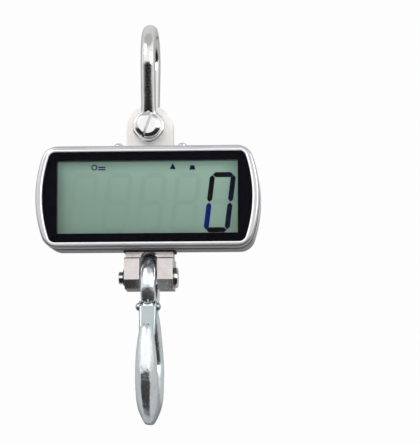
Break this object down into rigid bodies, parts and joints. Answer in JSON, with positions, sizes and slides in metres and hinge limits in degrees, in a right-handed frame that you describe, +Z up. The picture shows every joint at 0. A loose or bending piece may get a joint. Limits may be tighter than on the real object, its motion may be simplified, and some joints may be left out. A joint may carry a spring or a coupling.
{
  "type": "digital hanging scale",
  "caption": "Hanging scale with a wide liquid-crystal display, a bow shackle on a top lug and a latched eye hook in a bottom clevis.",
  "frame": {"origin": "inner top of the shackle bow, the point the scale hangs from", "axes": "+Z up along the load line, +X across the display to its right as read, +Y to the back"},
  "size_m": [0.141, 0.0669, 0.2554],
  "materials": {
    "polished_steel": "polished stainless steel",
    "bright_steel": "satin machined steel",
    "cream_metal": "satin off-white plated lug",
    "nickel": "satin nickel plate, slightly warm",
    "zinc": "zinc plate over forged steel",
    "dark_steel": "black phosphated spring steel",
    "shell_silver": "satin silver cast aluminium",
    "trim_bright": "bright polished edge",
    "rubber_black": "matt rubber",
    "window_clear": "clear glossy acrylic",
    "mask_black": "glossy black",
    "lcd_green": "reflective grey-green display",
    "lcd_ink": "dark blue-black segments",
    "plastic_black": "moulded black plastic",
    "plastic_grey": "moulded dark grey plastic",
    "plastic_red": "moulded red rubber key",
    "light_white": "white light guide",
    "board_green": "solder-masked circuit board",
    "chip_black": "moulded chip packages",
    "gold": "plated contacts",
    "cell_steel": "machined aluminium alloy",
    "foil": "copper foil on film",
    "cell_wrap": "plastic-wrapped dry cell",
    "cable_grey": "sheathed cable",
    "wire_red": "insulated wire",
    "ribbon": "flat flexible cable"
  },
  "bodies": {
    "suspension": {"bow_shackle": "polished_steel", "shackle_pin": "polished_steel"},
    "housing": {"suspension_lug": "cream_metal", "housing_top_screws": "bright_steel", "load_cell": "cell_steel", "strain_gauges": "foil", "stud_lock_nuts": "bright_steel", "hook_clevis": "nickel", "front_shell": "shell_silver", "rear_cover": "shell_silver", "shell_gasket": "rubber_black", "window_trim": "trim_bright", "window_lens": "window_clear", "window_mask": "mask_black", "lcd_glass": "lcd_green", "lcd_segments": "lcd_ink", "lcd_frame": "plastic_black", "backlight_panel": "light_white", "lcd_pins": "gold", "main_board": "board_green", "board_chips": "chip_black", "board_screws": "bright_steel", "battery_holder": "plastic_black", "battery_cells": "cell_wrap", "battery_contacts": "gold", "battery_door": "plastic_grey", "battery_door_screws": "bright_steel", "key_board": "board_green", "key_switches": "chip_black", "rear_cover_screws": "bright_steel", "top_neck_seal": "rubber_black", "bottom_neck_seal": "rubber_black", "load_cell_cable": "cable_grey", "battery_lead": "wire_red", "key_ribbon": "ribbon"},
    "cross_pin": {"clevis_pin": "bright_steel", "pin_retaining_clip": "dark_steel"},
    "hook": {"eye_hook": "zinc", "latch_rivet": "zinc", "latch_spring": "bright_steel"},
    "latch": {"hook_latch": "zinc"},
    "power_key": {"power_button": "plastic_red"},
    "zero_key": {"zero_button": "plastic_grey"},
    "hold_key": {"hold_button": "plastic_grey"}
  },
  "joints": [
    {"name": "shackle_swing", "type": "hinge", "parent": "suspension", "child": "housing", "pos_m": [0, 0, -0.05775], "axis": [0, 1, 0], "range_deg": [-90, 90]},
    {"name": "hook_swing", "type": "hinge", "parent": "housing", "child": "hook", "pos_m": [0, 0, -0.15255], "axis": [1, 0, 0], "range_deg": [-32, 32]},
    {"name": "clevis_pin_spin", "type": "hinge", "parent": "housing", "child": "cross_pin", "pos_m": [0, 0, -0.15255], "axis": [1, 0, 0], "continuous": true},
    {"name": "latch_swing", "type": "hinge", "parent": "hook", "child": "latch", "pos_m": [0, -0.014, -0.17225], "axis": [1, 0, 0], "range_deg": [0, 60], "stiffness_Nm_per_rad": 0.02, "springref_deg": -34.38, "deforming": ["latch_spring"]},
    {"name": "power_press", "type": "slide", "parent": "housing", "child": "power_key", "axis": [0, -1, 0], "range_m": [0, 0.0009], "stiffness_N_per_m": 400, "springref_m": -0.0008},
    {"name": "zero_press", "type": "slide", "parent": "housing", "child": "zero_key", "axis": [0, -1, 0], "range_m": [0, 0.0009], "stiffness_N_per_m": 400, "springref_m": -0.0008},
    {"name": "hold_press", "type": "slide", "parent": "housing", "child": "hold_key", "axis": [0, -1, 0], "range_m": [0, 0.0009], "stiffness_N_per_m": 400, "springref_m": -0.0008}
  ]
}
